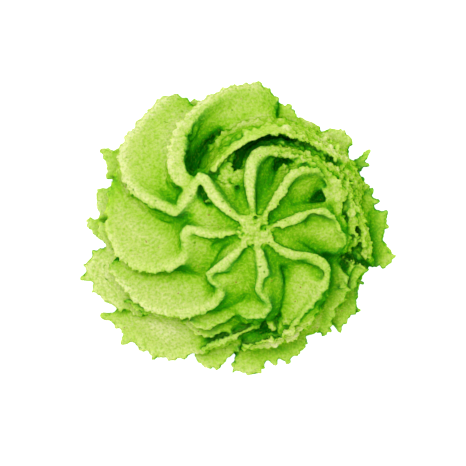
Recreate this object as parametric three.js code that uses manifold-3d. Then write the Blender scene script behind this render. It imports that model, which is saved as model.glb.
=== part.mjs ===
// A rosette of green horseradish paste, piped from a star nozzle: one soft solid of swirled ridges.
// Millimetres, +Z up. The swirl winds round the Z axis and the finished solid is centred on its own box.

import * as THREE from 'three';
import { mergeVertices } from 'three/addons/utils/BufferGeometryUtils.js';
import Module from 'manifold-3d';

const wasm = await Module();
wasm.setup();

// Driving dimensions.
const FOOT_RADIUS = 12.6; // the flat spot that the rosette rests on
const FOOT_CORNERS = 9; // one for each rib of the nozzle
const CORE_HEIGHT = 16.4; // top of the solid middle, under the star of ridges
const FOOT_HEIGHT = 1.6; // how far the foot reaches up into the middle
const UNDERSIDE = 0.6; // height of the middle's lower edge above the surface
const SMOOTH_STEP = 1.4; // distance between two sections of a smooth ridge, along its crest
const TOOTH_STEP = 0.9; // the same on a torn one, where each section is a tooth or a notch
const TORN = 0.5; // roughness from which a ridge counts as torn
const ROOT_DEPTH = 3.2; // how far a ridge's foot is sunk below the surface that it shows
const STAR_BAND = 1.6; // width of a ridge's flat crest in the star
const TIP_SHARE = 0.5; // share of that width at the ridge's tip, in the middle of the star
const SWELL_BY = 0.22; // share of a ridge's length over which its crest widens from its tip
const LIP_BAND = 0.65; // width of its thin lip near the rim
const MIDWAY = 0.5; // where a flank bends, as a share of the way from its foot to the crest
const HOLLOW = 0.35; // how much a ridge's two flanks curve in
const TOOTH = 0.4; // largest height of a tooth on a torn lip
const TOOTH_TURN = 0.3; // share of it by which teeth and notches take turns
const TOOTH_CHANCE = 1.5; // share of it that is left to chance
const LIP_FROM = 0.625; // share of a ridge's length over which its crest narrows to its lip
const FLOOR_GAP = 0.4; // clear height of the lowest rims above the surface
const RIM_ROOT = ROOT_DEPTH / 4; // height of their feet above that
// A lower rim: how far it stands out, how high and low its feet lie, where its flanks bend, its teeth.
const RIM = { reach: 5.0, rise: 2.2, drop: 2.4, flank: 0.72, rough: 1.5 };
const SCRAP = { reach: 2.0, rise: 0.6, drop: 1.8, flank: 0.5, rough: 1 }; // a torn layer between two ridges
const LOWER_REACH = 0.8; // how far in a rim's lower foot lies, as a share of the upper one's
const LUMP_SHAPE = [0.85, 1.15]; // smallest and largest radius of a torn lump, as a share
const BALL_SIDES = 12; // flat sides of a ball that presses a pocket in
const MOUND_SIDES = 22; // flat sides of the middle, which the ridges cover
const STEP_CHANCE = 0.5; // share of a step by which a section strays from its even place
const SAME_POINT = 1e-5; // corners closer than this are one corner
const SLIVER = 0.03; // triangles thinner than this, left where ridges cross, are tidied away

// Torn lumps, as centre and radius: at the tip, and in the hollow between two ridges of the star.
const LUMPS = [
  [0.2, 0.2, 16.0, 0.9], [-0.7, 0.9, 16.1, 0.6], [0.9, 0.9, 16.1, 0.6], [-0.2, -0.9, 16.0, 0.6],
  [0.9, -0.5, 16.0, 0.6], [0.6, -1.5, 15.8, 0.65], [-1.1, -0.3, 16, 0.6], [-1.7, 7.6, 13.5, 0.65],
  [-3.4, 7.3, 12.9, 0.9], [-2.6, 6.3, 12.9, 0.8], [-3.7, 6.4, 12.7, 0.7], [-1.9, 5.4, 12.9, 0.6],
  [-4.6, 6.8, 12.6, 0.7], [-2.6, 8.2, 12.4, 0.8],
];

// Pockets pressed in under the curls of the ridges, each as its two ends and its radius.
const POCKETS = [
  [[6.6, 0.8, 14.8], [8.3, 0.2, 14.1], 1.1],
  [[5, -4.5, 14.3], [6.9, -4.9, 13.8], 1],
  [[1.6, -5.7, 15], [1.5, -6.9, 14.5], 0.55],
  [[-3.9, -5.4, 14.5], [-2.8, -5.4, 14.5], 0.7],
];

// The ridges, inside to outside. Each has matching points along its crest, the foot of its inner flank
// and the foot of its outer flank. rough is 0 for a smooth lip and 1 for a torn one.
const RIDGES = [
  {
    name: 'top',
    crest: [[0.1, 1.4, 16.5], [-0.2, 3.2, 16.3], [-0.5, 5.2, 15.9], [-0.3, 7.1, 15.4],
      [0.3, 8.3, 14.8], [1.6, 8.8, 14.2], [3.4, 8.5, 13.6], [5.4, 7.8, 13], [7.2, 7.6, 12.6],
      [8.6, 7, 12], [9.6, 5.8, 11.4], [10.2, 4.2, 10.8]],
    inner: [[0.5, 1.9, 16], [0.8, 3.2, 14.6], [1.5, 4.6, 13.6], [1.9, 5.6, 13], [2.2, 6.6, 12.6],
      [2.5, 7.6, 12.2], [3.6, 7.9, 12], [5.2, 7.6, 12], [7, 7.3, 12], [8.2, 6.4, 11.6],
      [8.8, 5.4, 11], [9.4, 4.2, 10.6]],
    outer: [[-0.7, 1.6, 16], [-1.3, 3.2, 14.6], [-1.6, 5, 13.4], [-1.4, 7.2, 12.6], [-0.8, 8.9, 12],
      [1, 9.9, 11.8], [3.6, 10, 11.6], [5.8, 9.6, 11.2], [7.8, 8.6, 10.8], [9.2, 7.2, 10.4],
      [10.2, 5.8, 10], [10.6, 4.2, 9.6]],
    band: 1.4,
    lip: 1.5,
    rough: 0.4,
  },
  {
    name: 'upperRight',
    crest: [[1, 1.1, 16.5], [2.1, 2.7, 16.3], [3.2, 4.4, 15.9], [4.2, 6.1, 15.4], [5.4, 6.6, 15],
      [7.2, 6.7, 14.4], [7.9, 5.8, 13.6], [8.4, 4.5, 12.8], [9.2, 3.6, 12]],
    inner: [[1.6, 1.2, 16], [2.8, 2.3, 14.6], [4.2, 2.9, 13.6], [5.4, 3, 13], [6.3, 3.2, 12.4],
      [7, 3.8, 11.8], [7.4, 4.2, 11.2], [7.8, 3.8, 11], [8.6, 3.3, 11]],
    outer: [[0.6, 1.9, 16], [0.9, 3.4, 14.6], [2, 5.2, 13.6], [2.8, 7.2, 12.6], [4.6, 7.8, 12.4],
      [7, 7.6, 12.4], [8.6, 6.6, 12], [9.2, 5, 11.4], [10, 4, 11]],
    band: 1.9,
    hollow: 0.7,
    flank: 0.6,
    rough: 0.4,
  },
  {
    name: 'right',
    crest: [[1.4, 0.1, 16.4], [3.2, 0.6, 16.2], [5, 1.3, 15.8], [6.5, 1.9, 15.4], [7.9, 2.2, 15],
      [9, 1.3, 14.4], [9.8, -0.2, 13.6], [10.4, -1.4, 12.8], [9.6, -2.1, 12.2]],
    inner: [[1.6, -0.55, 16], [3.2, -0.6, 15], [4.8, -1.1, 14], [5.6, -1.6, 13.4],
      [6.4, -2.1, 12.8], [7.2, -2.5, 12.4], [8, -2.7, 12], [8.8, -2.9, 11.6], [9, -2.9, 11.4]],
    outer: [[1.9, 0.9, 16], [3, 2.3, 14.6], [4.8, 2.9, 13.8], [6.6, 3, 13], [8.4, 3.2, 12.4],
      [9.6, 1.9, 11.8], [10.5, 0.2, 11.2], [11, -1.6, 10.6], [10.2, -2.8, 10.4]],
    band: 2.1,
    hollow: 0.9,
    flank: 0.6,
    rough: 0.3,
  },
  {
    name: 'lowerRight',
    crest: [[1.3, -1, 16.4], [2.9, -2.3, 16.1], [4.7, -2.9, 15.8], [6.7, -3, 15.3], [8, -4.1, 14.6],
      [8.2, -5.8, 13.8], [7.3, -7.5, 13], [6, -8.9, 12.2], [5, -10.2, 11.4], [4.2, -11.4, 10.6],
      [2.4, -12.2, 9.6], [0.6, -12.7, 8.8], [-1.2, -13.2, 8.2]],
    inner: [[1.2, -1.8, 15.8], [2.4, -3.4, 14.4], [3.5, -4.2, 13.2], [3.6, -5, 12.4],
      [3.6, -6, 12.2], [3.5, -7, 11.8], [3.4, -8, 11.2], [3.2, -9, 10.6], [2.9, -10, 9.8],
      [2.6, -11, 8.8], [1.6, -11.5, 8], [0.2, -11.7, 7.4], [-1.2, -12.2, 7]],
    outer: [[1.6, -0.6, 16], [3.6, -0.6, 15], [5, -1.3, 14.2], [7.2, -2.7, 13.2], [8.6, -3.8, 12.2],
      [8.6, -6, 11.4], [7.9, -7.8, 10.8], [7.2, -9.4, 10.2], [6.2, -10.9, 9.4], [5, -11.9, 8.6],
      [3, -12.9, 7.8], [0.8, -13.3, 7.2], [-1, -13.7, 6.8]],
    band: 2,
    hollow: 0.7,
    flank: 0.6,
    rough: 0.2,
  },
  {
    name: 'bottom',
    crest: [[0.4, -1.4, 16.4], [0.8, -3.2, 16.2], [1.1, -5, 15.6], [0.6, -6.8, 14.8],
      [1.3, -7.8, 14.2], [1.9, -8.6, 13.4], [1, -9.8, 12.4], [-0.6, -10, 11.8], [-1.7, -9.5, 11]],
    inner: [[-0.3, -1.7, 15.8], [-0.8, -3.2, 14.8], [-0.5, -5.2, 13.6], [-0.5, -6.9, 12.4],
      [-0.4, -7.6, 11.8], [-0.3, -8, 11.6], [-1, -8.4, 11.2], [-1.8, -8.6, 10.8],
      [-2.4, -8.9, 10.4]],
    outer: [[1, -2, 15.6], [2.4, -3.2, 14.6], [3.2, -4.6, 13.6], [3.4, -6.2, 12.8], [3.3, -7.6, 12],
      [3, -9, 11.2], [2.2, -10.1, 10.2], [0, -10.6, 9.6], [-1.6, -10.2, 9.2]],
    rough: 0.1,
  },
  {
    name: 'lowerLeft',
    crest: [[-0.6, -1.2, 16.3], [-2.2, -2.9, 16], [-3.9, -4.2, 15.4], [-4.9, -5, 14.8],
      [-4.7, -6, 14.2], [-3.7, -6.7, 13.6], [-4.3, -8.2, 12.8], [-6, -9.1, 12], [-9, -9.6, 11],
      [-11.6, -9, 10], [-13.8, -7.5, 9.2], [-15.2, -5.8, 8.4], [-16, -4.3, 7.6]],
    inner: [[-1.2, -0.9, 16], [-3.3, -2, 14.8], [-4.2, -3.2, 13.6], [-5.1, -4.6, 12.6],
      [-5.4, -5.6, 11.2], [-5.2, -6.3, 10.8], [-6, -5.7, 10.8], [-7.6, -4.9, 10],
      [-10.2, -4.4, 9.7], [-12.4, -3.9, 9.2], [-14, -3.2, 8.7], [-14.9, -3.3, 8.2],
      [-15.5, -3.1, 7.3]],
    outer: [[-0.6, -1.8, 15.8], [-0.9, -3, 14.8], [-0.6, -4.6, 13.8], [-0.4, -5.8, 13],
      [-0.8, -7.2, 12], [-1.8, -8.1, 11.2], [-3.4, -8.9, 10.4], [-6, -9.5, 9.6], [-9, -9.6, 8.6],
      [-11.2, -8.6, 7.8], [-13.2, -7, 7], [-14.5, -5.8, 6.6], [-15.5, -4.7, 6.1]],
    lip: 0.9,
    rough: 0.3,
  },
  {
    name: 'left',
    crest: [[-1.2, 0.1, 16.5], [-2.4, -0.4, 16.2], [-4, -0.7, 15.9], [-5.6, -0.6, 15.5],
      [-6.7, -0.1, 15.2], [-7.3, 0.2, 15], [-7.85, -0.3, 14.7], [-7.9, -1.4, 14.2], [-7.7, -2.5, 13.7],
      [-8, -3.4, 13.4], [-8.9, -4, 13], [-11.2, -4.5, 12], [-13.6, -3.8, 11], [-15.6, -2.2, 10],
      [-16.5, 0.2, 9.2], [-16.4, 3.4, 8.6], [-15.9, 6.2, 7.6], [-15.4, 8.4, 6.6]],
    inner: [[-1.6, 0.55, 15.6], [-2.8, 1.1, 14.9], [-4, 1.8, 14.1], [-5.2, 1.9, 13.9], [-6.4, 1.3, 13.6],
      [-7.4, 1, 13.1], [-8, 0.7, 12.3], [-8.5, 0.4, 11.5], [-9, 0.5, 10.8], [-9.4, 0.7, 10.3],
      [-10, 1, 9.9], [-11.2, 1.6, 9.4], [-12.7, 2.8, 8.8], [-13.8, 4.2, 8.1], [-14.5, 5.5, 7.5],
      [-14.9, 6.6, 6.9], [-15.1, 7.7, 6.3], [-15.1, 8.5, 5.6]],
    outer: [[-1.4, -0.35, 15.6], [-2.6, -1, 14.8], [-4, -1.35, 14.2], [-5.4, -1.3, 13.9],
      [-6.4, -0.95, 13.7], [-6.8, -0.75, 13.6], [-4.6, -1.5, 14], [-4.3, -3, 13.2], [-5, -4.4, 12.4],
      [-5.6, -5.2, 11.4], [-8, -4.8, 10.1], [-10.8, -4.4, 9.6], [-13.2, -3.7, 8.9], [-15, -2.8, 8.2],
      [-15.6, -0.4, 7.4], [-15.5, 2.8, 6.8], [-15.1, 5.4, 6], [-14.8, 7.6, 5.4]],
    band: 1,
    lip: 1,
    rough: 0.3,
  },
  {
    name: 'upperLeft',
    crest: [[-0.9, 0.7, 16.6], [-2.4, 1.7, 16.4], [-3.9, 3, 16], [-4.9, 4.3, 15.6], [-5.4, 5.5, 15.3],
      [-6.1, 5.9, 15.1], [-6.6, 5, 14.9], [-7.3, 4, 14.6], [-8.2, 2.8, 14.2], [-8.6, 1.9, 13.7],
      [-10, 2.5, 12.9], [-12.8, 4, 11.7], [-14.4, 6.3, 10.3], [-14.8, 8.8, 8.8], [-13.2, 11.6, 7.2],
      [-11.2, 14, 5.8], [-9.3, 15.4, 4.8], [-7.6, 14.6, 4]],
    inner: [[-1.1, 1.9, 15.6], [-1.5, 3, 14.6], [-1.8, 4.4, 13.8], [-2.8, 5.6, 13.3], [-4.4, 6.4, 12.8],
      [-5.8, 6.9, 12.2], [-7, 6.4, 11.7], [-8, 5.8, 11.2], [-8.6, 5, 10.9], [-8.9, 4.6, 10.7],
      [-9.1, 5.2, 10.4], [-9.1, 6.4, 10], [-8.9, 8.2, 9.3], [-8.4, 10, 8.4], [-7.6, 11.6, 7.3],
      [-6.8, 12.8, 6.2], [-6.2, 13.6, 5.2], [-5.8, 13.8, 4.2]],
    outer: [[-1.2, 0.3, 15.8], [-2.6, 0.9, 15], [-4, 1.9, 14], [-5.1, 3.2, 13.4], [-5.7, 4.4, 13],
      [-5.9, 4.8, 13], [-5.2, 3, 13.4], [-5, 2.2, 13.8], [-6.2, 1.3, 13.6], [-8, 0.6, 12],
      [-10.5, 0.9, 9.7], [-13.3, 2.8, 8.8], [-15, 5.6, 7.9], [-15.2, 8, 6.6], [-12.8, 10.6, 5],
      [-10.6, 12.9, 4], [-9.2, 14.4, 3.3], [-7.9, 14.3, 2.9]],
    lip: 1.1,
    rough: 0.2,
  },
  {
    name: 'topPetal',
    crest: [[-6.8, 4.8, 14.2], [-8.4, 6.2, 13.7], [-8.6, 8.6, 12.8], [-7.9, 11.3, 11.7], [-6.1, 13.8, 10.4],
      [-3.8, 15.3, 9.2], [-1.4, 16.2, 8], [1, 16.3, 7], [2.8, 14.9, 6]],
    inner: [[-6, 6.4, 12], [-6.9, 6.8, 10.2], [-6.6, 7.8, 9.4], [-5.4, 9.6, 8.8], [-3.6, 11.2, 8.6],
      [-1.6, 12.1, 8.6], [0.4, 12.4, 8.4], [1.8, 12.4, 8], [2.8, 12.4, 7.2]],
    outer: [[-8.6, 3.8, 12], [-9.9, 4.4, 10.2], [-10, 6, 9.7], [-9.4, 9.2, 8.6], [-7.8, 12, 7.4],
      [-4.6, 14.2, 5.6], [-1.4, 15.2, 4.8], [0.9, 15.2, 4.2], [2.4, 14.2, 4]],
    band: 3,
    lip: 1.2,
    rough: 0.3,
  },
  {
    name: 'innerArch',
    crest: [[-4.6, 6.4, 14.4], [-3.4, 8, 14.4], [-1.8, 9.4, 14.2], [0.4, 10.6, 13.8],
      [2.6, 11.1, 13.2], [5, 10.4, 12.4], [7.2, 9.3, 11.4], [9.2, 8.4, 10.4], [10.2, 7, 9.8],
      [11, 5, 9.6], [11.6, 2.6, 9.4], [12.2, 0.4, 9], [12.8, -1.8, 8.4], [13, -3.6, 7.6]],
    inner: [[-3.8, 6.2, 12.6], [-2.8, 7.9, 12], [-1.4, 9.2, 11.4], [0.4, 10.2, 11],
      [2.6, 10.6, 10.8], [4.9, 10, 10.6], [6.8, 9, 10.2], [8.4, 7.8, 9.8], [9.4, 6.4, 9.4],
      [10.2, 4.6, 9], [10.8, 2.2, 8.6], [11.2, 0.2, 8.2], [11.4, -2, 7.8], [11.4, -3.6, 7.4]],
    outer: [[-6.3, 6.2, 11.6], [-5.7, 8.2, 10], [-4.4, 10.2, 9.2], [-1.6, 12, 8.8],
      [1.8, 12.6, 8.6], [4.4, 12.2, 7.8], [6.8, 11, 7.2], [9.6, 9.2, 6.8], [11.4, 7.4, 6.4],
      [12, 5.4, 6], [12.2, 2.6, 5.6], [12.8, 0.2, 5.4], [13.4, -2.2, 5], [13.6, -3.8, 4.6]],
    band: 1.6,
    lip: 1.7,
    rough: 0.7,
  },
  {
    name: 'lowerLedge',
    crest: [[-7.3, -10.2, 9.2], [-6.2, -11.1, 9], [-4.4, -10.9, 9.2], [-2.9, -10.2, 9.7],
      [-1.9, -9.4, 10.2]],
    inner: [[-6.9, -8.9, 9.2], [-5.6, -9.2, 9.4], [-4, -9.2, 9.6], [-2.6, -8.9, 10], [-1.6, -8.6, 10.4]],
    outer: [[-7.2, -10.2, 7.2], [-6, -10.7, 7], [-4.3, -10.4, 7.2], [-2.8, -9.8, 7.6], [-1.7, -9.2, 8]],
    band: 0.7,
    rough: 0.3,
  },
  {
    name: 'lowerStrip',
    crest: [[-6.4, -13.7, 5.6], [-5.2, -13.2, 7], [-3.6, -12.6, 7.8], [-1.8, -11.8, 8.4],
      [-0.2, -11.1, 9], [1, -10.5, 9.6]],
    inner: [[-6.4, -13, 5], [-5.2, -12.3, 5.8], [-3.4, -11.7, 6.4], [-1.6, -10.9, 7],
      [0, -10.3, 7.6], [1, -9.8, 8.4]],
    outer: [[-6.6, -14.2, 4.8], [-5.3, -13.9, 5.4], [-3.8, -13.3, 6], [-2, -12.5, 6.6],
      [-0.4, -11.8, 7.2], [0.9, -11.2, 7.8]],
    band: 0.9,
    lip: 0.8,
    rough: 0.3,
  },
];

// The lower tier: thin rims that stand out from under the ridges, as points along each rim.
const RIMS = {
  lowerLeft: [[-8.2, -10.9, 5.8], [-11, -10.3, 5.4], [-13.4, -9.7, 5.2], [-16.2, -8.9, 4.8],
    [-18, -7, 4.4], [-19.4, -4.8, 4.2], [-18.8, -3, 4.2], [-17, -2.2, 4.4]],
  lowerLeftUnder: [[-0.4, -11.2, 7.6], [-2.4, -12, 6.8], [-4.6, -13, 5.8], [-6.6, -13.8, 4.8],
    [-9.2, -14.7, 3.8], [-12, -13.9, 3.4], [-14.2, -12.4, 3.2], [-15.8, -11, 3.2],
    [-16.5, -9.6, 3.2]],
  bottomLeft: [[-1.6, -13, 5], [-3, -14.8, 3.6], [-4.4, -15.5, 3], [-5.9, -15.4, 3], [-6.3, -14.2, 3.2]],
  bottom: [[6, -11.3, 5], [6.1, -12.4, 4.2], [5.2, -13.8, 3.6], [3.8, -15.1, 3.2], [2.4, -14.8, 3],
    [1, -15.9, 2.8], [-0.8, -16.3, 2.8], [-2.2, -15.7, 3], [-2.1, -14.2, 3.2]],
  lowerRightUpper: [[9.2, -3.8, 9.2], [10.2, -4.8, 8.8], [10.4, -6.4, 8.2], [9.9, -8.4, 7.2],
    [8.9, -9.8, 6.4], [8.7, -11.4, 5], [7.8, -11.9, 4.2], [6.6, -11.2, 4]],
  lowerRight: [[12.6, -4.1, 6.2], [12.4, -5.2, 5.6], [11.6, -6.2, 5], [12, -7.4, 4.6], [11.7, -9.2, 4],
    [10.8, -10.6, 3.6], [9.8, -11.6, 3.2], [9, -11, 3.4]],
  right: [[11.9, 5.9, 5.8], [13.2, 4.6, 5.2], [13.6, 3, 4.8], [14.8, 1.8, 4.2], [15.3, 0, 3.8],
    [15, -1.4, 3.6], [16, -2.8, 3.2], [15.6, -4, 3.2], [13.4, -4.2, 3.6]],
  upperRight: [[6.9, 11, 5], [8.6, 11.5, 4.4], [10.4, 11.4, 4], [11.3, 10.2, 3.8], [10.9, 8.9, 4],
    [10.4, 8.4, 4.4]],
  rightSpike: [[10.4, 8.1, 4.8], [11.8, 8.2, 4.2], [12.9, 8.8, 3.6], [12.6, 7.6, 4], [12, 6.4, 4.4]],
  topRight: [[2.6, 14.6, 5.2], [4, 14.2, 4.8], [4.8, 13.1, 4.6], [5.2, 12.2, 4.6]],
  topRightNub: [[5, 12.7, 3.6], [6.4, 12.1, 3.4], [6.7, 11.3, 3.6]],
  upperLeftUpper: [[-15, 8.9, 3.8], [-15.9, 9.3, 3.4], [-16.8, 8.8, 3.2], [-16.7, 7.2, 3.2],
    [-16.2, 5.8, 3.4]],
  upperLeft: [[-16.3, 5, 4], [-17.3, 5, 3.6], [-18, 3.6, 3.4], [-18, 2, 3.4], [-17.4, 1.2, 3.6]],
  leftTip: [[-17.4, 1.3, 3], [-18.7, 1.1, 2.6], [-18.7, 0.2, 2.6], [-17.6, -0.6, 2.8]],
  left: [[-17.6, 1, 5.2], [-17.2, -0.8, 5], [-16.5, -2.6, 4.8], [-15.9, -4.2, 4.8]],
  topLeft: [[-8, 14.2, 2.6], [-7.2, 15.1, 2.4], [-6.4, 15.1, 2.4], [-5.7, 14.3, 2.6]],
};

// Torn layers between the ridges and the lower tier: short rims that stand out only a little.
const SCRAPS = {
  underLeft: [[-14.2, -8.0, 7.2], [-12.4, -9.3, 7.2], [-9.6, -9.9, 7.2], [-7.8, -9.9, 7.2]],
  underPetal: [[-8.0, -10.4, 6.8], [-6.7, -11.8, 6.8], [-4.6, -11.9, 7.2], [-2.5, -11.7, 7.6]],
  underFold: [[1.4, -10.4, 9.4], [2.4, -11.3, 9.0], [3.4, -11.2, 9.0]],
  secondLip: [[8.6, -5.4, 10.6], [8.3, -7.3, 10.4], [7.5, -8.7, 9.8], [6.4, -10.4, 9.0],
    [5.2, -11.6, 8.0], [3.8, -12.6, 7.4]],
  innerStrip: [[9.2, 5.6, 12.2], [9.9, 4.0, 12.2], [9.8, 2.6, 12.0], [10.2, 1.0, 11.4], [10.6, -0.6, 10.8]],
  middleStrip: [[10.4, 5.6, 11.2], [11.0, 4.2, 11.0], [11.2, 2.6, 10.6], [11.4, 0.6, 10.2],
    [11.6, -1.4, 9.6], [11.2, -2.8, 9.2]],
  lowerRight: [[10.4, -3.2, 9.6], [11.6, -3.7, 8.8], [12.7, -4.4, 7.8], [12.0, -5.5, 7.6],
    [11.4, -6.6, 7.2], [10.6, -7.6, 7.0]],
};

const UP = new THREE.Vector3(0, 0, 1);
const dice = seededDice(8);

// A small repeatable random generator, 0 to 1.
function seededDice(seed) {
  let state = seed;
  return () => {
    state = (state * 1664525 + 1013904223) % 4294967296;
    return state / 4294967296;
  };
}

function curveThrough(points) {
  return new THREE.CatmullRomCurve3(points.map((p) => new THREE.Vector3(...p)), false, 'centripetal');
}

function toSolid(geometry) {
  geometry.deleteAttribute('normal');
  geometry.deleteAttribute('uv');
  const merged = mergeVertices(geometry, SAME_POINT);
  const vertProperties = new Float32Array(merged.attributes.position.array);
  const triVerts = new Uint32Array(merged.index.array);
  return new wasm.Manifold(new wasm.Mesh({ numProp: 3, vertProperties, triVerts }));
}

function toGeometry(solid) {
  const mesh = solid.getMesh();
  const geometry = new THREE.BufferGeometry();
  geometry.setAttribute('position', new THREE.BufferAttribute(mesh.vertProperties, 3));
  geometry.setIndex(new THREE.BufferAttribute(mesh.triVerts, 1));
  geometry.computeVertexNormals();
  return geometry;
}

// The parameters at which a ridge is cut into sections, unevenly spaced about a step apart.
function stationsOf(crest, count, step) {
  const stations = [0];
  for (let i = 1; i < count; i += 1) {
    const from = (i - 1) / (count - 1);
    const to = i / (count - 1);
    const length = crest.getPoint(from).distanceTo(crest.getPoint(to));
    const pieces = Math.max(1, Math.round(length / step));
    for (let k = 1; k < pieces; k += 1) {
      const stray = STEP_CHANCE * (dice() - 0.5);
      stations.push(from + ((to - from) * (k + stray)) / pieces);
    }
    stations.push(to);
  }
  return stations;
}

// One section of a ridge: up the inner flank, over the crest band and down the outer flank.
function sectionOf(ridge, t, tooth) {
  const crest = ridge.crest.getPoint(t);
  const inner = ridge.inner.getPoint(t);
  const outer = ridge.outer.getPoint(t);
  const foot = inner.clone().lerp(outer, 0.5);
  const rise = crest.clone().sub(foot).normalize().multiplyScalar(tooth);
  const across = outer.clone().sub(inner).normalize();
  const swell = THREE.MathUtils.lerp(TIP_SHARE, 1, Math.min(1, t / SWELL_BY));
  const half = (swell * THREE.MathUtils.lerp(ridge.band, ridge.lip, Math.min(1, t / LIP_FROM))) / 2;
  const crestInner = crest.clone().addScaledVector(across, -half);
  const crestOuter = crest.clone().addScaledVector(across, half);
  const inwards = across.clone().multiplyScalar(ridge.hollow);
  const flankInner = inner.clone().lerp(crestInner, ridge.flank).add(inwards);
  const flankOuter = outer.clone().lerp(crestOuter, ridge.flank).sub(inwards);
  crestInner.add(rise);
  crestOuter.add(rise);
  const rootInner = inner.clone().addScaledVector(UP, -ROOT_DEPTH);
  const rootOuter = outer.clone().addScaledVector(UP, -ROOT_DEPTH);
  rootInner.z = Math.max(rootInner.z, FLOOR_GAP);
  rootOuter.z = Math.max(rootOuter.z, FLOOR_GAP);
  return [rootInner, inner, flankInner, crestInner, crestOuter, flankOuter, outer, rootOuter];
}

// A closed body through all the sections, its two end faces split as a ladder between the flanks.
function loftThrough(sections) {
  const sides = sections[0].length;
  const positions = sections.flat().flatMap((p) => [p.x, p.y, p.z]);
  const last = (sections.length - 1) * sides;
  const index = [];
  for (let ring = 0; ring < last; ring += sides) {
    for (let i = 0; i < sides; i += 1) {
      const j = (i + 1) % sides;
      index.push(ring + i, ring + j, ring + sides + j, ring + i, ring + sides + j, ring + sides + i);
    }
  }
  for (let a = 0; a < sides / 2 - 1; a += 1) {
    const b = a + 1;
    const c = sides - 2 - a;
    const d = sides - 1 - a;
    index.push(a, d, c, a, c, b);
    index.push(last + a, last + b, last + c, last + a, last + c, last + d);
  }
  const geometry = new THREE.BufferGeometry();
  geometry.setAttribute('position', new THREE.Float32BufferAttribute(positions, 3));
  geometry.setIndex(index);
  const solid = toSolid(geometry);
  return solid.volume() < 0 ? toSolid(flipped(geometry)) : solid;
}

function flipped(geometry) {
  const index = [...geometry.index.array];
  for (let i = 0; i < index.length; i += 3) {
    [index[i], index[i + 1]] = [index[i + 1], index[i]];
  }
  geometry.setIndex(index);
  return geometry;
}

function ridgeSolid(shape) {
  const { rough, band = STAR_BAND, lip = LIP_BAND, flank = MIDWAY, hollow = HOLLOW } = shape;
  const crest = curveThrough(shape.crest);
  const inner = curveThrough(shape.inner);
  const outer = curveThrough(shape.outer);
  const ridge = { crest, inner, outer, band, lip, flank, hollow };
  const step = THREE.MathUtils.lerp(SMOOTH_STEP, TOOTH_STEP, Math.min(1, rough / TORN));
  const stations = stationsOf(crest, shape.crest.length, step);
  const sections = stations.map((t, i) => {
    const side = i % 2 === 0 ? TOOTH_TURN : -TOOTH_TURN;
    return sectionOf(ridge, t, rough * TOOTH * (side + TOOTH_CHANCE * (dice() - 0.5)));
  });
  return loftThrough(sections);
}

// A thin rim's upper and lower foot lie inwards of it, under the ridges.
function rimSolid(points, { reach, rise, drop, flank, rough }) {
  const inwards = (p, distance) => {
    const scale = 1 - distance / Math.hypot(p[0], p[1]);
    return [p[0] * scale, p[1] * scale];
  };
  const upper = points.map((p) => [...inwards(p, reach), p[2] + rise]);
  const lowest = FLOOR_GAP + RIM_ROOT;
  const lower = points.map((p) => [...inwards(p, reach * LOWER_REACH), Math.max(lowest, p[2] - drop)]);
  return ridgeSolid({ crest: points, inner: upper, outer: lower, band: LIP_BAND, flank, rough });
}

// A pocket's cutter is the hull of a ball at each end.
function pocketSolid([from, to, radius]) {
  const balls = [from, to].map((end) => wasm.Manifold.sphere(radius, BALL_SIDES).translate(end));
  return wasm.Manifold.hull(balls);
}

// A lump is a faceted ball with each corner pushed in or out a little.
function lumpSolid([x, y, z, radius]) {
  const ball = new THREE.IcosahedronGeometry(radius, 1);
  const lump = mergeVertices(ball.deleteAttribute('normal').deleteAttribute('uv'), SAME_POINT);
  const [smallest, largest] = LUMP_SHAPE;
  const corner = new THREE.Vector3();
  const positions = lump.attributes.position;
  for (let i = 0; i < positions.count; i += 1) {
    corner.fromBufferAttribute(positions, i);
    corner.multiplyScalar(THREE.MathUtils.lerp(smallest, largest, dice()));
    positions.setXYZ(i, corner.x + x, corner.y + y, corner.z + z);
  }
  return toSolid(lump);
}

// The solid middle: a mound that fills the hollows between the ridges, on a foot pressed flat.
function coreSolid() {
  const mound = [
    [0, UNDERSIDE],
    [FOOT_RADIUS, UNDERSIDE],
    [FOOT_RADIUS + 1.0, FOOT_HEIGHT],
    [FOOT_RADIUS + 1.2, 3.2],
    [FOOT_RADIUS + 0.2, 5.6],
    [10.8, 8.2],
    [9.2, 10.2],
    [7.4, 11.6],
    [5.6, 12.8],
    [4.0, 13.9],
    [3.0, 14.8],
    [2.2, CORE_HEIGHT - 0.9],
    [1.3, CORE_HEIGHT - 0.3],
    [0, CORE_HEIGHT],
  ];
  const foot = [
    [0, 0],
    [FOOT_RADIUS, 0],
    [FOOT_RADIUS + 0.4, FOOT_HEIGHT],
    [0, FOOT_HEIGHT],
  ];
  return turned(mound, MOUND_SIDES).add(turned(foot, FOOT_CORNERS));
}

// A profile of radius and height turned round the Z axis in a number of flat sides.
function turned(profile, sides) {
  const points = profile.map(([r, z]) => new THREE.Vector2(r, z));
  return toSolid(new THREE.LatheGeometry(points, sides).rotateX(Math.PI / 2));
}

const pieces = [
  ...RIDGES.map(ridgeSolid),
  ...Object.values(RIMS).map((rim) => rimSolid(rim, RIM)),
  ...LUMPS.map(lumpSolid),
  ...Object.values(SCRAPS).map((scrap) => rimSolid(scrap, SCRAP)),
];
const pockets = wasm.Manifold.union(POCKETS.map(pocketSolid));
const joined = wasm.Manifold.union([coreSolid(), ...pieces]).subtract(pockets).simplify(SLIVER);
// Fusing can seal a small hollow or cut off a crumb: only the one outer body is kept.
const shells = joined.decompose();
const solid = shells.reduce((kept, shell) => (shell.volume() > kept.volume() ? shell : kept));
const geometry = toGeometry(solid);
geometry.computeBoundingBox();
const box = geometry.boundingBox;
geometry.translate(-(box.min.x + box.max.x) / 2, -(box.min.y + box.max.y) / 2, -box.min.z);

const paste = new THREE.MeshStandardMaterial({ color: 0xa9c34a, roughness: 0.55, metalness: 0 });
const rosette = new THREE.Mesh(geometry, paste);
rosette.name = 'wasabi_rosette';

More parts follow.
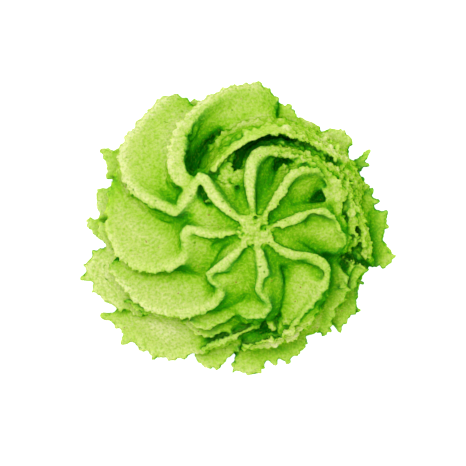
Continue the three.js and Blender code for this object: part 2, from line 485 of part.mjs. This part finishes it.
const group = new THREE.Group();
group.add(rosette);
export default group;
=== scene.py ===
import math
import random

import bmesh
import bpy
import numpy as np
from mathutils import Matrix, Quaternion, Vector, noise
from mathutils.bvhtree import BVHTree


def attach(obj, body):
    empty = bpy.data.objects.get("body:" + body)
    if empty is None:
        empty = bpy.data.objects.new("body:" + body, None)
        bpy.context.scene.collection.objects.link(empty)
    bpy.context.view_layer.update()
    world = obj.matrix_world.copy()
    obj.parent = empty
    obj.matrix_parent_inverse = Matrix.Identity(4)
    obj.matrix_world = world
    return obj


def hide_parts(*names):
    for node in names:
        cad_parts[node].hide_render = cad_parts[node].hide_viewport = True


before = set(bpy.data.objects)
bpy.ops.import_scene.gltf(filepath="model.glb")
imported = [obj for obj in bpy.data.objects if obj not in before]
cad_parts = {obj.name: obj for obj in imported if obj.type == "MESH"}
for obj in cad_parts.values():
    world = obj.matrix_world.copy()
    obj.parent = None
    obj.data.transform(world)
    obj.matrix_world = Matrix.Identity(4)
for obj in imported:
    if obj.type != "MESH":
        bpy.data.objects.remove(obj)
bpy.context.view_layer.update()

# The view: straight down on the rosette from a long way off with a long lens, so that
# the petals hardly spread towards the edge. The rosette stands a little right of the middle.
EYE_PLACE = (-0.00067, -0.00033, 0.4447)
eye = bpy.data.cameras.new("view_from_above")
eye.sensor_width = 36.0
eye.lens = 300.0
eye.clip_start = 0.01
camera = bpy.data.objects.new("view_from_above", eye)
camera.location = EYE_PLACE
bpy.context.collection.objects.link(camera)
bpy.context.scene.camera = camera
bpy.context.scene.view_settings.view_transform = "Standard"

# The studio: an even white surround, one broad soft lamp nearly overhead, a little to the
# upper left, and a wider and weaker one above.
WHITE = (1.0, 1.0, 1.0, 1.0)
SURROUND_STRENGTH = 0.42
surround = bpy.data.worlds.new("surround")
surround.use_nodes = True
surround_light = surround.node_tree.nodes["Background"]
surround_light.inputs["Color"].default_value = WHITE
surround_light.inputs["Strength"].default_value = SURROUND_STRENGTH
bpy.context.scene.world = surround


def soft_lamp(name, place, width, watts):
    """A round soft lamp at a place, turned to the rosette."""
    lamp = bpy.data.lights.new(name, "AREA")
    lamp.shape = "DISK"
    lamp.size = width
    lamp.energy = watts
    stand = bpy.data.objects.new(name, lamp)
    stand.location = place
    stand.rotation_euler = Vector(place).to_track_quat("Z", "Y").to_euler()
    bpy.context.collection.objects.link(stand)


soft_lamp("key_lamp", place=(-0.07, 0.05, 0.42), width=0.24, watts=0.99)
soft_lamp("top_lamp", place=(0.03, 0.0, 0.50), width=0.30, watts=0.68)


# The surface under the rosette: a plain pale sheet, matt, wide enough for any view. It
# glows a little of its own, so that it stays white right up to the paste.
class Link:
    """A value or colour in a material. Sums of links add Math nodes; add makes any other node."""

    def __init__(self, tree, socket=None):
        self.tree = tree
        self.socket = socket

    def add(self, kind, settings=None, sockets=None, out=0):
        """A node of that kind: its settings are made first, and then its sockets filled."""
        made = self.tree.nodes.new("ShaderNode" + kind)
        for name, value in (settings or {}).items():
            if name == "stops":
                ramp = made.color_ramp
                while len(ramp.elements) < len(value):
                    ramp.elements.new(1.0)
                for stop, (place, colour) in zip(ramp.elements, value):
                    stop.position = place
                    stop.color = (*colour, 1)
            else:
                setattr(made, name, value)
        for name, value in (sockets or {}).items():
            if isinstance(value, Link):
                self.tree.links.new(value.socket, made.inputs[name])
            else:
                made.inputs[name].default_value = value
        return Link(self.tree, made.outputs[out])

    def sum(self, operation, first, second):
        return self.add("Math", {"operation": operation}, {0: first, 1: second})

    def __add__(self, other):
        return self.sum("ADD", self, other)

    def __radd__(self, other):
        return self.sum("ADD", other, self)

    def __sub__(self, other):
        return self.sum("SUBTRACT", self, other)

    def __rsub__(self, other):
        return self.sum("SUBTRACT", other, self)

    def __mul__(self, other):
        return self.sum("MULTIPLY", self, other)

    def __rmul__(self, other):
        return self.sum("MULTIPLY", other, self)


def material_named(name):
    """A node material, the link that starts its nodes, and its Principled shader."""
    made = bpy.data.materials.new(name)
    made.use_nodes = True
    shader = made.node_tree.nodes["Principled BSDF"]
    return made, Link(made.node_tree), shader


SHEET_SIDE = 1.2
SHEET_COLOUR = (0.95, 0.955, 0.955, 1)
sheet = bmesh.new()
bmesh.ops.create_grid(sheet, x_segments=1, y_segments=1, size=SHEET_SIDE / 2)
sheet_mesh = bpy.data.meshes.new("pale_surface")
sheet.to_mesh(sheet_mesh)
sheet.free()
floor = bpy.data.objects.new("pale_surface", sheet_mesh)
bpy.context.collection.objects.link(floor)
pale, _, pale_shader = material_named("pale_surface")
pale_shader.inputs["Base Color"].default_value = SHEET_COLOUR
pale_shader.inputs["Roughness"].default_value = 0.7
pale_shader.inputs["Emission Color"].default_value = WHITE
pale_shader.inputs["Emission Strength"].default_value = 0.75
sheet_mesh.materials.append(pale)

# The rosette: moist paste of finely grated root, pressed through a star nozzle in one turn,
# so it is one soft body that stands on its own foot. Its solid is strewn with crumbs, evened
# out, torn along the crests and given a grainy skin. Sizes from here on are in millimetres.
MM = 0.001
STAR = Vector((1.8, -0.1, 0.0))  # the middle of the star, from which places are counted
SEED = 5

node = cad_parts["wasabi_rosette"]
paste = bmesh.new()
paste.from_mesh(node.data)
bmesh.ops.remove_doubles(paste, verts=paste.verts, dist=1e-7)
bmesh.ops.scale(paste, verts=paste.verts, vec=(1 / MM, 1 / MM, 1 / MM))
bmesh.ops.translate(paste, verts=paste.verts, vec=-STAR)
solid_faces = list(paste.faces)
solid_tree = BVHTree.FromBMesh(paste)
dice = random.Random(SEED)


def add_crumb(place, size, stretch):
    """A stretched crumb turned any way."""
    crumb = bmesh.ops.create_icosphere(paste, subdivisions=1, radius=size)["verts"]
    bmesh.ops.scale(paste, verts=crumb, vec=stretch)
    turn = Quaternion([dice.gauss(0, 1) for _ in range(4)])
    bmesh.ops.rotate(paste, verts=crumb, matrix=turn.normalized().to_matrix())
    bmesh.ops.translate(paste, verts=crumb, vec=place)


# Spots where the nozzle tore the paste: the middle of each, its radius, its count of crumbs.
TORN = [
    ((0.0, 0.0, 16.2), 2.2, 24),
    ((-3.0, 6.7, 12.8), 2.4, 30),
    ((4.5, 8.8, 13.0), 3.0, 20),
    ((9.8, 7.2, 11.4), 2.8, 30),
    ((11.2, 3.4, 10.2), 3.4, 40),
    ((11.6, -1.6, 9.4), 2.8, 24),
    ((12.8, 0.4, 8.6), 2.6, 24),
    ((3.5, -12.0, 9.0), 2.6, 12),
    ((13.0, 5.0, 8.0), 2.8, 30),
    ((9.4, 10.4, 9.4), 2.4, 24),
]
LEAST_UPWARD = 0.1  # crumbs lie only on faces that look at least this much upward
CORNER_SHARE = 0.05  # keeps a crumb from lying right at a corner of its face
CRUMB_SIZES = (0.14, 0.42)
CRUMB_STRETCHES = ((0.9, 1.9), (0.7, 1.3), (0.35, 0.8))
CRUMB_PROUD = 0.35  # how far a crumb's middle stands above the paste, as a share of its size

for middle, radius, count in TORN:
    near = [
        face for face in solid_faces
        if (face.calc_center_median() - Vector(middle)).length < radius
        and face.normal.z > LEAST_UPWARD
    ]
    if not near:
        continue
    areas = [face.calc_area() for face in near]
    for face in dice.choices(near, weights=areas, k=count):
        corners = [vert.co for vert in face.verts]
        shares = [dice.random() + CORNER_SHARE for _ in corners]
        shared = sum((corner * share for corner, share in zip(corners, shares)), Vector())
        place = shared / sum(shares)
        size = dice.uniform(*CRUMB_SIZES)
        stretch = Vector([dice.uniform(*span) for span in CRUMB_STRETCHES])
        add_crumb(place + face.normal * size * CRUMB_PROUD, size, stretch)

# Crumbly strips that the nozzle dragged off at the right, and two short ones that close the
# ends of the folds at the upper left: both ends from above, the width, and the highest lift.
STRIPS = [
    ((7.4, 9.4), (10.1, 7.6), 1.0, 0.35),
    ((2.4, 8.7), (7.3, 7.4), 0.8, 0.30),
    ((8.0, 6.4), (10.3, 4.2), 1.2, 0.35),
    ((10.4, 2.6), (11.2, -1.2), 0.7, 0.40),
    ((12.0, 0.4), (12.7, -3.0), 0.8, 0.35),
    ((11.4, 7.0), (12.0, 4.0), 0.9, 0.40),
    ((12.5, 3.6), (12.9, 0.4), 0.7, 0.30),
    ((8.2, 10.6), (10.6, 8.8), 0.7, 0.30),
    ((11.2, -3.4), (9.6, -6.6), 0.7, 0.30),
    ((-5.3, 3.4), (-4.5, 2.0), 1.3, 0.90),
    ((-3.6, 11.3), (-4.4, 10.2), 1.0, 0.80),
]
STRIP_STEP = 0.30
STRIP_SPREAD = 0.5  # how far apart a strip's crumbs stray, as a share of its width
STRIP_CRUMB_SIZES = (0.32, 0.52)  # as shares of its width
STRIP_CRUMB_STRETCH = (1.2, 1.0, 0.7)
STRIP_LIFTS = (0.3, 1.0)  # as shares of its highest lift
ABOVE_ALL = 30.0
DOWN = Vector((0, 0, -1))

for first, last, width, lift in STRIPS:
    along = Vector(last) - Vector(first)
    for index in range(round(along.length / STRIP_STEP)):
        spot = Vector(first) + along.normalized() * index * STRIP_STEP
        spot += Vector((dice.uniform(-0.5, 0.5), dice.uniform(-0.5, 0.5))) * width * STRIP_SPREAD
        top = solid_tree.ray_cast(Vector((*spot, ABOVE_ALL)), DOWN)[0]
        if top is not None:
            size = width * dice.uniform(*STRIP_CRUMB_SIZES)
            raised = Vector((0, 0, lift * dice.uniform(*STRIP_LIFTS)))
            add_crumb(top + raised, size, Vector(STRIP_CRUMB_STRETCH))

rosette_mesh = bpy.data.meshes.new("rosette")
paste.to_mesh(rosette_mesh)
paste.free()
rosette = bpy.data.objects.new("rosette", rosette_mesh)
bpy.context.collection.objects.link(rosette)


def settle(piece):
    """Applies a piece's modifiers to its mesh."""
    finished = piece.evaluated_get(bpy.context.evaluated_depsgraph_get())
    shaped = bpy.data.meshes.new_from_object(finished)
    shaped.name = piece.name
    piece.modifiers.clear()
    piece.data = shaped


# The skin: paste and crumbs become one closed surface.
SKIN_STEP = 0.15
skin = rosette.modifiers.new("skin", "REMESH")
skin.mode = "VOXEL"
skin.voxel_size = SKIN_STEP
settle(rosette)


def points_of(mesh):
    """A mesh's points as rows of three numbers."""
    rows = np.empty(len(mesh.vertices) * 3)
    mesh.vertices.foreach_get("co", rows)
    return rows.reshape(-1, 3)


def normals_of(mesh):
    """The way each point of a mesh faces, as rows of three numbers."""
    rows = np.empty(len(mesh.vertices) * 3)
    mesh.vertex_normals.foreach_get("vector", rows)
    return rows.reshape(-1, 3)


def put_points(mesh, rows):
    """Moves a mesh's points to those rows."""
    mesh.vertices.foreach_set("co", rows.ravel())
    mesh.update()


class Eased:
    """Evens out numbers over a mesh, each point with those next to it."""

    def __init__(self, mesh):
        ends = np.empty(len(mesh.edges) * 2, dtype=np.int64)
        mesh.edges.foreach_get("vertices", ends)
        ends = ends.reshape(-1, 2)
        self.here = np.concatenate([ends[:, 0], ends[:, 1]])
        self.there = np.concatenate([ends[:, 1], ends[:, 0]])
        self.count = np.bincount(self.here, minlength=len(mesh.vertices))

    def rows(self, rows, rounds, share=0.5):
        """Several numbers a point. The share moved each round is one number, or one a point."""
        rows = rows.copy()
        share = share if np.isscalar(share) else share[:, None]
        for _ in range(rounds):
            mean = np.stack([
                np.bincount(self.here, rows[self.there, axis], len(self.count)) / self.count
                for axis in range(rows.shape[1])
            ], axis=1)
            rows += (mean - rows) * share
        return rows

    def values(self, values, rounds):
        """One number a point."""
        return self.rows(values[:, None], rounds)[:, 0]


def ramp(values, low, high):
    """0 below low, 1 above high, and a soft step between."""
    t = np.clip((values - low) / (high - low), 0, 1)
    return t * t * (3 - 2 * t)


def along_each(rows, ways):
    """How far each row reaches along its own way."""
    return np.einsum("ij,ij->i", rows, ways)


def standing_out(mesh, rounds):
    """How far each point stands away from the surface evened that often, and how high above it."""
    rows = points_of(mesh)
    away = rows - Eased(mesh).rows(rows, rounds)
    return away, along_each(away, normals_of(mesh))


# The skin is evened out, its broad faces further than its crests, so that only the crests
# stay crisp. Pairs like CREST_HEIGHTS say where something begins, and where it counts in full.
SKIN_ROUNDS = 4
FACE_ROUNDS = 14
FACE_SHARE = 0.5
CREST_ROUNDS = 30
CREST_BLEND_ROUNDS = 3
CREST_HEIGHTS = (0.04, 0.22)
mesh = rosette.data
eased = Eased(mesh)
rows = eased.rows(points_of(mesh), SKIN_ROUNDS)
put_points(mesh, rows)
away, above = standing_out(mesh, CREST_ROUNDS)
on_crest = ramp(eased.values(above, CREST_BLEND_ROUNDS), *CREST_HEIGHTS)
rows = eased.rows(rows, FACE_ROUNDS, FACE_SHARE * (1 - on_crest))
put_points(mesh, rows)
normals = normals_of(mesh)
middle_distance = np.hypot(rows[:, 0], rows[:, 1])

CRUMB_REACH = 0.75  # a crumb ends this far from its middle, as a share of its size
TORN_REACH = 1.25  # a torn spot fades out at this share of its radius
TORN_FADE = 0.45


def noise_at(rows, *layers):
    """Smooth noise, one number a point. A layer has a share, a size of lump and a shift."""
    total = np.zeros(len(rows))
    for share, size, shift in layers:
        spots = rows / size + shift
        waves = (noise.noise(Vector(spot)) for spot in spots)
        total += share * np.fromiter(waves, float, len(spots))
    return total


def crumbs_at(rows, size):
    """Round crumbs packed side by side: 1 in a crumb's middle and 0 between crumbs."""
    spots = rows / size
    gaps = (noise.voronoi(Vector(spot))[0][0] for spot in spots)
    return np.clip(1 - np.fromiter(gaps, float, len(spots)) / CRUMB_REACH, 0, 1)


def torn_at(rows):
    """1 inside the torn spots and 0 away from them, one number a point."""
    share = np.zeros(len(rows))
    for middle, radius, _ in TORN:
        inside = 1 - np.linalg.norm(rows - middle, axis=1) / (radius * TORN_REACH)
        share = np.maximum(share, ramp(inside, 0.0, TORN_FADE))
    return share


# The roughness: grain everywhere, flakes on the crests, crumbs on the torn spots, and upright
# teeth on the steep outer walls, which show from above as a ragged outline.
GRAIN_LAYERS = ((0.5, 0.34, 0.0), (0.5, 0.7, 5.1))
GRAIN_HEIGHT = 0.060
FLAKE_LAYERS = ((1.0, 0.42, 7.7), (0.7, 0.22, 2.2))
FLAKE_HEIGHT = 0.20
WORN_LAYER = (1.0, 2.4, 1.7)
WORN_SPAN = (-0.2, 0.3)
LEAST_FLAKY = 0.40  # some stretches of a crest are less flaky than others
LUMP_SIZE = 0.60
LUMP_LEVEL = 0.30  # the height in a lump that stays where it is
LUMP_HEIGHT = 0.24
TEETH_LAYERS = ((1.0, 1.0, 4.4), (0.8, 0.45, 6.1))
TEETH_HEIGHT = 0.38
UPRIGHT = (1.0, 1.0, 0.5)
STEEP = (0.3, 0.8)
OUTER_WALLS = (8.5, 11.0)
torn = torn_at(rows)
flaky = LEAST_FLAKY + (1 - LEAST_FLAKY) * ramp(noise_at(rows, WORN_LAYER), *WORN_SPAN)
rough = np.clip(on_crest * flaky + torn, 0, 1)
side_on = ramp(1 - np.abs(normals[:, 2]), *STEEP) * ramp(middle_distance, *OUTER_WALLS)
height = (
    GRAIN_HEIGHT * noise_at(rows, *GRAIN_LAYERS)
    + rough * FLAKE_HEIGHT * noise_at(rows, *FLAKE_LAYERS)
    + torn * LUMP_HEIGHT * (crumbs_at(rows, LUMP_SIZE) - LUMP_LEVEL)
    + side_on * TEETH_HEIGHT * noise_at(rows * UPRIGHT, *TEETH_LAYERS)
)

# The lips are frayed in and out, and more so where torn, on the outer rims and on the star.
NOTCH_LAYERS = ((1.0, 0.9, 3.3), (0.8, 0.4, 9.2))
FRAYED = 0.22
FRAYED_TORN = 0.25
FRAYED_OUTSIDE = 0.40
FRAYED_STAR = 0.15
OUTER_RIMS = (10.5, 14.0)
OFF_STAR = (3.0, 7.0)
TINY = 1e-6
frayed = (
    FRAYED
    + FRAYED_TORN * torn
    + FRAYED_OUTSIDE * ramp(middle_distance, *OUTER_RIMS)
    + FRAYED_STAR * (1 - ramp(middle_distance, *OFF_STAR))
)
lip_ways = away / (np.linalg.norm(away, axis=1)[:, None] + TINY)
lips = (on_crest * frayed * noise_at(rows, *NOTCH_LAYERS))[:, None] * lip_ways
rows = rows + normals * height[:, None] + lips
rows[:, 2] = np.maximum(rows[:, 2], 0.0)
put_points(mesh, rows)

MOST_TRIANGLES = 190_000
thin = rosette.modifiers.new("thin", "DECIMATE")
thin.ratio = min(1.0, MOST_TRIANGLES / (2 * len(mesh.polygons)))
settle(rosette)
mesh = rosette.data

# How open each point of the skin is: rays towards a bowl of directions round its normal,
# where those that go up, and a little to the left towards the key lamp, count most. The colour
# uses this as painted shade: shut-in paste, and paste turned from the key lamp, is painted a deeper,
# darker green.
RAYS = 24
FAR_REACH = 5.0
NEAR_REACH = 1.8
START = 0.05
KEY_LAMP_SIDE = Vector((-0.16, 0.05, 0.95)).normalized()
GOLDEN_TURN = math.pi * (3 - math.sqrt(5))
bowl = []
for index in range(RAYS):
    turn = index * GOLDEN_TURN
    rise = math.sqrt(1 - (index + 0.5) / RAYS)
    side = math.sqrt(1 - rise * rise)
    bowl.append(Vector((side * math.cos(turn), side * math.sin(turn), rise)))
level = sum(max(0.0, ray.dot(KEY_LAMP_SIDE)) for ray in bowl)


def tree_of(mesh):
    """The mesh as rays can meet it."""
    points = [vert.co for vert in mesh.vertices]
    return BVHTree.FromPolygons(points, [face.vertices for face in mesh.polygons])


def openness_of(mesh):
    """Two numbers a point, far and near, each from 0 shut in to 1 on an open level spot."""
    tree = tree_of(mesh)
    values = []
    for vert in mesh.vertices:
        turned = vert.normal.to_track_quat("Z", "Y")
        start = vert.co + vert.normal * START
        open_far = 0.0
        shut_near = 0.0
        for ray in bowl:
            way = turned @ ray
            distance = tree.ray_cast(start, way, FAR_REACH)[3]
            weight = max(0.0, way.dot(KEY_LAMP_SIDE))
            if distance is None:
                open_far += weight
            else:
                open_far += weight * distance / FAR_REACH
                shut_near += max(0.0, 1 - distance / NEAR_REACH)
        values.append((open_far / level, 1 - shut_near / RAYS))
    return np.array(values)


THICK = 1.4  # light comes through a lip or a rim that is thinner than this


def thinness_of(mesh):
    """One number a point, from 0 where the paste is thick to 1 at the thinnest lip."""
    tree = tree_of(mesh)
    values = []
    for vert in mesh.vertices:
        through = tree.ray_cast(vert.co - vert.normal * START, -vert.normal, THICK)[3]
        values.append(0.0 if through is None else 1 - through / THICK)
    return np.array(values)


def keep_on(mesh, name, values):
    """Keeps one number a point on the mesh, for its material to read."""
    mesh.attributes.new(name, "FLOAT", "POINT").data.foreach_set("value", values)


NORMAL_ROUNDS = 4
OPEN_ROUNDS = 3
CREVICE_ROUNDS = 1
THIN_ROUNDS = 8
THIN_UPWARD = (0.1, 0.6)
eased = Eased(mesh)
spots = points_of(mesh)
spots_away = np.linalg.norm(spots[:, :2], axis=1)
skin_normals = eased.rows(normals_of(mesh), NORMAL_ROUNDS)
upward = skin_normals[:, 2]
opened = openness_of(mesh)
thinned = eased.values(thinness_of(mesh), THIN_ROUNDS)
# The far openness is kept for the material, which paints shade into the colour with it.
keep_on(mesh, "openness", eased.rows(opened, OPEN_ROUNDS)[:, 0])
# The near openness is kept for the material, which paints shade into narrow crevices with it.
keep_on(mesh, "pits", eased.rows(opened, CREVICE_ROUNDS)[:, 1])
keep_on(mesh, "thinness", thinned * ramp(upward, *THIN_UPWARD))

# The pale bands along the crests: narrow lips and broad backs that stand out and look upward. They
# are partly the paler paste of the crests and partly a painted highlight where the crests face up,
# open to the lamps.
LIP_ROUNDS = 12
LIP_BLEND_ROUNDS = 2
LIP_HEIGHTS = (0.02, 0.16)
BACK_ROUNDS = 60
BACK_BLEND_ROUNDS = 3
BACK_HEIGHTS = (0.10, 0.42)
BAND_ROUNDS = 16
BAND_UPWARD = (0.25, 0.7)
_, lip = standing_out(mesh, LIP_ROUNDS)
_, back = standing_out(mesh, BACK_ROUNDS)
band = np.maximum(
    ramp(eased.values(lip, LIP_BLEND_ROUNDS), *LIP_HEIGHTS),
    ramp(eased.values(back, BACK_BLEND_ROUNDS), *BACK_HEIGHTS),
)
keep_on(mesh, "crest", eased.values(band * ramp(upward, *BAND_UPWARD), BAND_ROUNDS))

# Crumbled paste is paler than whole paste in the same place, and least so on the star.
STAR_CRUMBLED = 0.4
CRUMBLED_OFF_STAR = (4.0, 7.0)
crumbled_share = STAR_CRUMBLED + (1 - STAR_CRUMBLED) * ramp(spots_away, *CRUMBLED_OFF_STAR)
keep_on(mesh, "crumbled", torn_at(spots) * crumbled_share)

# Walls that look outward to the white surround, and low rims, are painted paler than the walls
# inside the folds: painted light from the surround. On the right this painted light counts less,
# because the folds there are narrow.
WIDE_ROUNDS = 24
SOFT_MIDDLE = 0.1
OUTER_SPAN = (10.5, 12.5)
FACING_OUT = (0.25, 0.70)
RIM_TOPS = (3.5, 5.0)
RIM_STEEP = (0.15, 0.60)
RIGHT_SPAN = (7.0, 11.0)
RIGHT_END = (6.0, 9.0)
RIGHT_UPWARD = (0.10, 0.35)
RIGHT_LOSS = 0.65
wide_normals = eased.rows(skin_normals, WIDE_ROUNDS)
facing = along_each(wide_normals[:, :2], spots[:, :2]) / (spots_away + SOFT_MIDDLE)
low_rim = (1 - ramp(spots[:, 2], *RIM_TOPS)) * ramp(1 - np.abs(upward), *RIM_STEEP)
outward = np.maximum(ramp(facing, *FACING_OUT), low_rim)
right = ramp(spots[:, 0], *RIGHT_SPAN) * (1 - ramp(spots[:, 1], *RIGHT_END))
right = right * ramp(wide_normals[:, 2], *RIGHT_UPWARD)
painted_surround_light = ramp(spots_away, *OUTER_SPAN) * outward * (1 - RIGHT_LOSS * right)

# Away from the key lamp the roots of the rims lie in the lee of the petals above them, and are
# painted darker there: painted shade.
LEE_RIGHT = (9.0, 12.0)
LEE_BELOW = (10.0, 12.5)
LEE_BELOW_SPAN = (-4.0, 1.0)
LEE_TOPS = (4.0, 6.0)
LEE_OUTER_END = (13.5, 16.0)
LEE_UPWARD = (0.2, 0.5)
LEE_SHADE = 0.65
below = ramp(-spots[:, 1], *LEE_BELOW) * ramp(spots[:, 0], *LEE_BELOW_SPAN)
lee = np.maximum(ramp(spots[:, 0], *LEE_RIGHT), below) * (1 - ramp(spots[:, 2], *LEE_TOPS))
lee = lee * (1 - ramp(spots_away, *LEE_OUTER_END)) * ramp(upward, *LEE_UPWARD)
# The painted light on the outer walls, less the painted shade in the lee, is kept for the material.
keep_on(mesh, "edge", painted_surround_light - LEE_SHADE * lee)

# The finished mesh goes back to its place on the foot, in metres.
placed = bmesh.new()
placed.from_mesh(mesh)
bmesh.ops.translate(placed, verts=placed.verts, vec=STAR)
bmesh.ops.scale(placed, verts=placed.verts, vec=(MM, MM, MM))
placed.to_mesh(mesh)
placed.free()
mesh.shade_smooth()

# The look of the paste: a green painted deeper and darker the more shut in it is, which is painted
# shade, and mottled and grainy.
green, link, shader = material_named("wasabi_paste")
on_piece = link.add("TexCoord", out="Object")


def kept_value(name):
    """What keep_on left on the mesh under that name."""
    return link.add("Attribute", {"attribute_name": name}, out="Fac")


def noise_link(size, detail):
    """Noise from 0 to 1 with lumps of that size."""
    return link.add("TexNoise", {}, {"Vector": on_piece, "Scale": 1 / (size * MM), "Detail": detail})


def blend_colours(first, second, share):
    """The first colour with that share of the second."""
    settings = {"data_type": "RGBA", "blend_type": "MIX", "clamp_factor": True}
    return link.add("Mix", settings, {0: share, 6: first, 7: second}, out=2)


openness = kept_value("openness")
pits = kept_value("pits")
thinness = kept_value("thinness")
crest = kept_value("crest")
crumbled = kept_value("crumbled")
edge = kept_value("edge")
mottle = noise_link(1.6, detail=3.0)
fine = noise_link(0.30, detail=2.0)
specks = noise_link(0.60, detail=1.0)

# How pale a spot is painted: mostly painted shade and light, from how shut in and how near a crevice
# it is and from the painted wall light and lee shade, with its own mottle, grain and crumbled paste.
# 0 in the deepest fold, and 1 on the most open crumb.
NOISE_MIDDLE = 0.5
OPEN_GAIN = 1.33
OPEN_START = 0.35
CREVICE_SHADE_DEPTH = 0.90
MOTTLE_SHADE = 0.20
FINE_SHADE = 0.70
CRUMBLED_LIGHT = 0.22
EDGE_LIGHT = 0.44
SPREAD = 0.9
painted_shade_and_tone = (
    openness * OPEN_GAIN - OPEN_START
    + (pits - 1.0) * CREVICE_SHADE_DEPTH
    + (mottle - NOISE_MIDDLE) * MOTTLE_SHADE
    + (fine - NOISE_MIDDLE) * FINE_SHADE
    + crumbled * CRUMBLED_LIGHT
    + edge * EDGE_LIGHT
) * SPREAD
coloured = link.add("ValToRGB", {"stops": [
    (0.05, (0.003, 0.16, 0.0005)),
    (0.18, (0.010, 0.25, 0.0005)),
    (0.28, (0.03, 0.33, 0.001)),
    (0.39, (0.10, 0.44, 0.001)),
    (0.50, (0.225, 0.53, 0.005)),
    (0.61, (0.34, 0.595, 0.028)),
    (0.72, (0.44, 0.64, 0.08)),
    (0.84, (0.53, 0.67, 0.15)),
    (0.92, (0.60, 0.70, 0.21)),
    (1.00, (0.71, 0.77, 0.33)),
]}, {"Fac": painted_shade_and_tone})

# Painted light through thin lips, then painted shade in the dips between grains, where the bump is
# low, then the pale bands of the crests, partly painted highlight.
LIT_THROUGH = (0.50, 0.72, 0.06, 1)
LIT_SHARE = 0.8
GRAIN_DIP_SHADE = (0.30, 0.56, 0.02, 1)
DIP_BELOW = 0.48
DIP_SHARPNESS = 2.5
CREST_PALE_AND_HIGHLIGHT = (0.75, 0.81, 0.38, 1)
CREST_OPEN = 0.85
CREST_START = 0.25
CREST_GRAIN = 1.2
# The crest colour: partly paler crest paste, partly a painted highlight on open crests.
crest_highlight_share = (
    crest * (openness * CREST_OPEN - CREST_START) + (fine - NOISE_MIDDLE) * crest * CREST_GRAIN
)
coloured = blend_colours(coloured, LIT_THROUGH, thinness * openness * LIT_SHARE)
# Painted shade in the grain's dips, only where the spot is open to the light.
coloured = blend_colours(coloured, GRAIN_DIP_SHADE, (DIP_BELOW - fine) * openness * DIP_SHARPNESS)
coloured = blend_colours(coloured, CREST_PALE_AND_HIGHLIGHT, crest_highlight_share)

# A few dark and red specks of root skin.
DARK_SPECK = (0.08, 0.27, 0.002, 1)
DARK_BELOW = 0.28
DARK_SHARPNESS = 8.0
RED_SPECK = (0.28, 0.10, 0.01, 1)
RED_ABOVE = 0.745
RED_SHARPNESS = 12.0
coloured = blend_colours(coloured, DARK_SPECK, (DARK_BELOW - specks) * DARK_SHARPNESS)
coloured = blend_colours(coloured, RED_SPECK, (specks - RED_ABOVE) * RED_SHARPNESS)

bump = link.add("Bump", {}, {"Height": fine, "Strength": 0.9, "Distance": 0.25 * MM})
link.tree.links.new(coloured.socket, shader.inputs["Base Color"])
link.tree.links.new(bump.socket, shader.inputs["Normal"])
shader.inputs["Roughness"].default_value = 0.55
shader.inputs["Specular IOR Level"].default_value = 0.0
shader.inputs["Subsurface Weight"].default_value = 0.35
shader.inputs["Subsurface Radius"].default_value = (0.8, 1.0, 0.15)
shader.inputs["Subsurface Scale"].default_value = 0.8 * MM
mesh.materials.append(green)

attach(rosette, "root")
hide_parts("wasabi_rosette")
